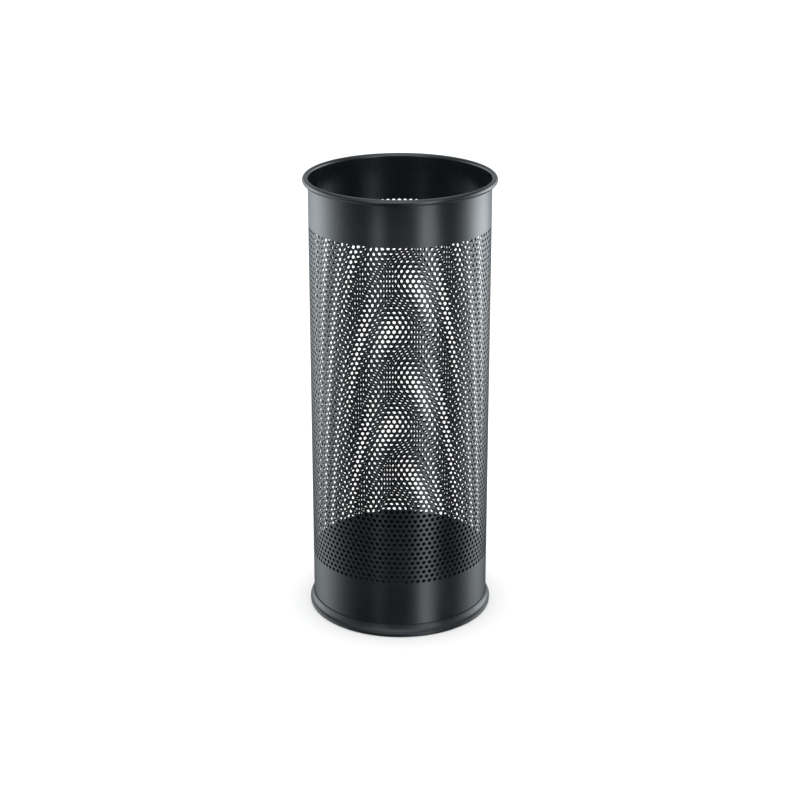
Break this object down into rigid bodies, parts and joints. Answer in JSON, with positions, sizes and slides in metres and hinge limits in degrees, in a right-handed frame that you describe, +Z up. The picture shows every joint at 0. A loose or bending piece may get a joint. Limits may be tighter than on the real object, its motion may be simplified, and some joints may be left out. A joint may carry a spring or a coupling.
{
  "type": "umbrella stand",
  "caption": "Tall round umbrella stand of perforated sheet steel with a curled rim, a floor ring and a lift-out drip tray.",
  "frame": {"origin": "on the floor, at the middle of the round foot", "axes": "+Z up along the sleeve's axis, towards the mouth. The sleeve's longitudinal weld lies about 105 degrees round from the front (-Y) by way of +X, so at the right-hand side and a little behind it; the part is otherwise the same all round"},
  "size_m": [0.26, 0.26, 0.62],
  "materials": {
    "coated_steel": "semi-gloss black powder coat on sheet steel",
    "ring_plastic": "semi-gloss black moulded plastic",
    "tray_plastic": "satin black moulded plastic with a fine grain"
  },
  "bodies": {
    "stand": {"perforated_sleeve": "coated_steel", "base_pan": "coated_steel", "floor_ring": "ring_plastic"},
    "tray": {"drip_tray": "tray_plastic"}
  },
  "joints": [
    {"name": "tray_lift", "type": "slide", "parent": "stand", "child": "tray", "axis": [0, 0, 1], "range_m": [0, 0.63]}
  ]
}
